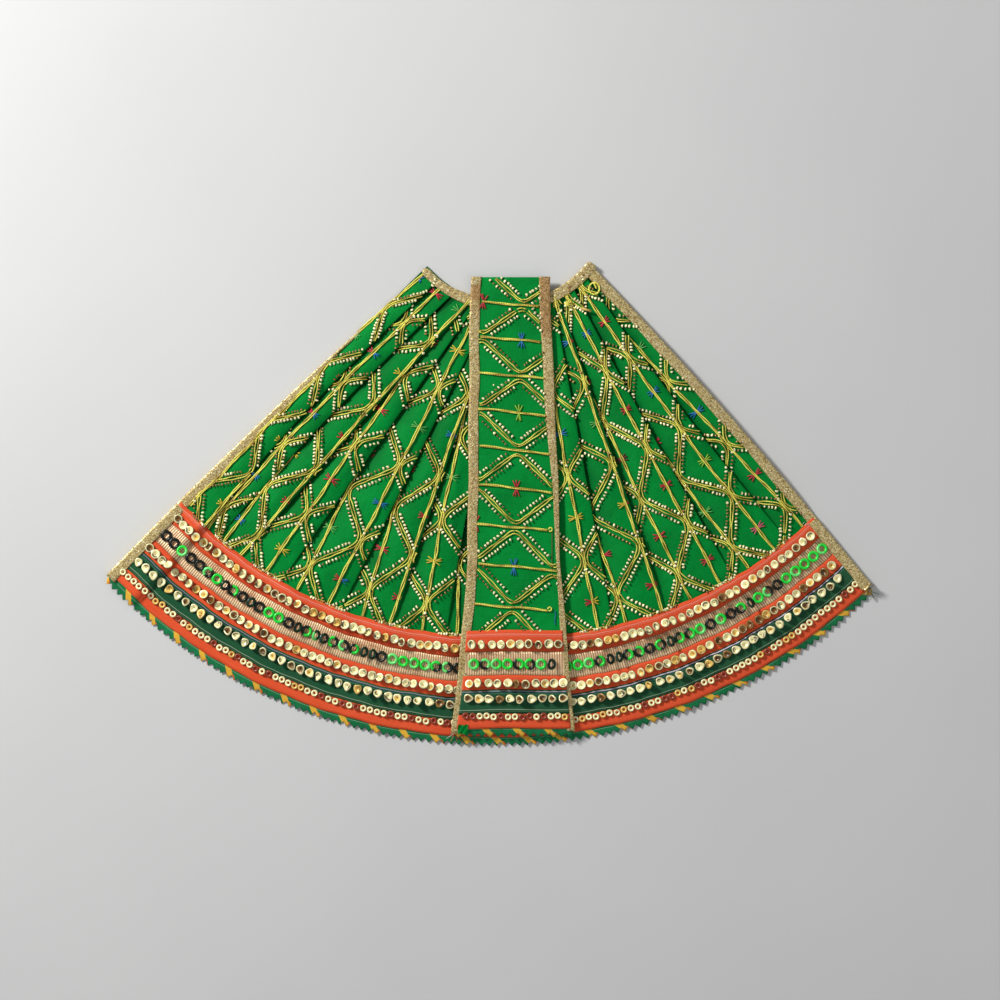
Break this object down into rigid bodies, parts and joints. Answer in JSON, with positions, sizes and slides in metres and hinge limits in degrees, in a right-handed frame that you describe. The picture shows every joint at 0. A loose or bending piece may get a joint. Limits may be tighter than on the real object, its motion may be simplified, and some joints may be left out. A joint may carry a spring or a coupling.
{
  "type": "pleated puppet skirt",
  "caption": "Pleated fan-shaped skirt for a puppet, with gold-taped edges, sequined hem bands, a pinked frill and a hinged front panel, laid flat.",
  "frame": {"origin": "centre of the footprint of the garment laid flat, on the surface under it", "axes": "+Z out of the front of the garment, +Y from hem towards waist, +X to the right as seen from the front"},
  "size_m": [0.427, 0.2686, 0.0056],
  "materials": {
    "green_satin": "satin-weave polyester with couched gold cord, small sequins and thread stars",
    "gold_tape": "woven metallic gota tape, fine glitter",
    "red_ribbon": "red satin ribbon with a row of round gold sequins",
    "copper_tissue": "ribbed metallic tissue with ring sequins",
    "dark_green_ribbon": "dark green satin ribbon with red edges and gold sequins",
    "pinked_green": "pinked ribbon with slanting yellow stripes"
  },
  "bodies": {
    "skirt_front": {"front_cloth": "green_satin", "front_copper_band": "copper_tissue", "front_frill": "pinked_green", "front_lower_band": "dark_green_ribbon", "front_red_band": "red_ribbon", "front_waist_tape": "gold_tape", "panel_top_fold": "green_satin", "panel_top_left_tape": "gold_tape", "panel_top_right_tape": "gold_tape"},
    "skirt_left_1": {"left_1_cloth": "green_satin", "left_1_copper_band": "copper_tissue", "left_1_frill": "pinked_green", "left_1_lower_band": "dark_green_ribbon", "left_1_red_band": "red_ribbon", "left_1_waist_tape": "gold_tape"},
    "skirt_left_2": {"left_2_cloth": "green_satin", "left_2_copper_band": "copper_tissue", "left_2_frill": "pinked_green", "left_2_lower_band": "dark_green_ribbon", "left_2_red_band": "red_ribbon", "left_2_waist_tape": "gold_tape"},
    "skirt_left_3": {"left_3_cloth": "green_satin", "left_3_copper_band": "copper_tissue", "left_3_frill": "pinked_green", "left_3_lower_band": "dark_green_ribbon", "left_3_red_band": "red_ribbon", "left_3_waist_tape": "gold_tape", "left_edge_tape": "gold_tape"},
    "skirt_right_1": {"right_1_cloth": "green_satin", "right_1_copper_band": "copper_tissue", "right_1_frill": "pinked_green", "right_1_lower_band": "dark_green_ribbon", "right_1_red_band": "red_ribbon", "right_1_waist_tape": "gold_tape"},
    "skirt_right_2": {"right_2_cloth": "green_satin", "right_2_copper_band": "copper_tissue", "right_2_frill": "pinked_green", "right_2_lower_band": "dark_green_ribbon", "right_2_red_band": "red_ribbon", "right_2_waist_tape": "gold_tape"},
    "skirt_right_3": {"right_3_cloth": "green_satin", "right_3_copper_band": "copper_tissue", "right_3_frill": "pinked_green", "right_3_lower_band": "dark_green_ribbon", "right_3_red_band": "red_ribbon", "right_3_waist_tape": "gold_tape", "right_edge_tape": "gold_tape"},
    "front_panel": {"panel_cloth": "green_satin", "panel_copper_band": "copper_tissue", "panel_frill": "pinked_green", "panel_left_tape": "gold_tape", "panel_lower_band": "dark_green_ribbon", "panel_red_band": "red_ribbon", "panel_right_tape": "gold_tape"}
  },
  "joints": [
    {"name": "left_wrap_1", "type": "hinge", "parent": "skirt_front", "child": "skirt_left_1", "pos_m": [0.00546, 0.10955, 0], "axis": [-0.1393, -0.9902, 0], "range_deg": [0, 46]},
    {"name": "left_wrap_2", "type": "hinge", "parent": "skirt_left_1", "child": "skirt_left_2", "pos_m": [-0.00275, 0.1107, 0], "axis": [-0.3786, -0.9256, 0], "range_deg": [0, 37]},
    {"name": "left_wrap_3", "type": "hinge", "parent": "skirt_left_2", "child": "skirt_left_3", "pos_m": [-0.01169, 0.11335, 0], "axis": [-0.6224, -0.7827, 0], "range_deg": [0, 24]},
    {"name": "right_wrap_1", "type": "hinge", "parent": "skirt_front", "child": "skirt_right_1", "pos_m": [0.01478, 0.10963, 0], "axis": [-0.1278, 0.9918, 0], "range_deg": [0, 46]},
    {"name": "right_wrap_2", "type": "hinge", "parent": "skirt_right_1", "child": "skirt_right_2", "pos_m": [0.02992, 0.11298, 0], "axis": [-0.2941, 0.9558, 0], "range_deg": [0, 37]},
    {"name": "right_wrap_3", "type": "hinge", "parent": "skirt_right_2", "child": "skirt_right_3", "pos_m": [0.04451, 0.12074, 0], "axis": [-0.5064, 0.8623, 0], "range_deg": [0, 24]},
    {"name": "panel_lift", "type": "hinge", "parent": "skirt_front", "child": "front_panel", "pos_m": [0.0115, 0.104, 0.0056], "axis": [-1, 0, 0], "range_deg": [0, 165]}
  ],
  "couplings": [
    {"joint": "left_wrap_2", "follows": "left_wrap_1", "ratio": 0.8},
    {"joint": "left_wrap_3", "follows": "left_wrap_1", "ratio": 0.5},
    {"joint": "right_wrap_2", "follows": "right_wrap_1", "ratio": 0.8},
    {"joint": "right_wrap_3", "follows": "right_wrap_1", "ratio": 0.5}
  ]
}
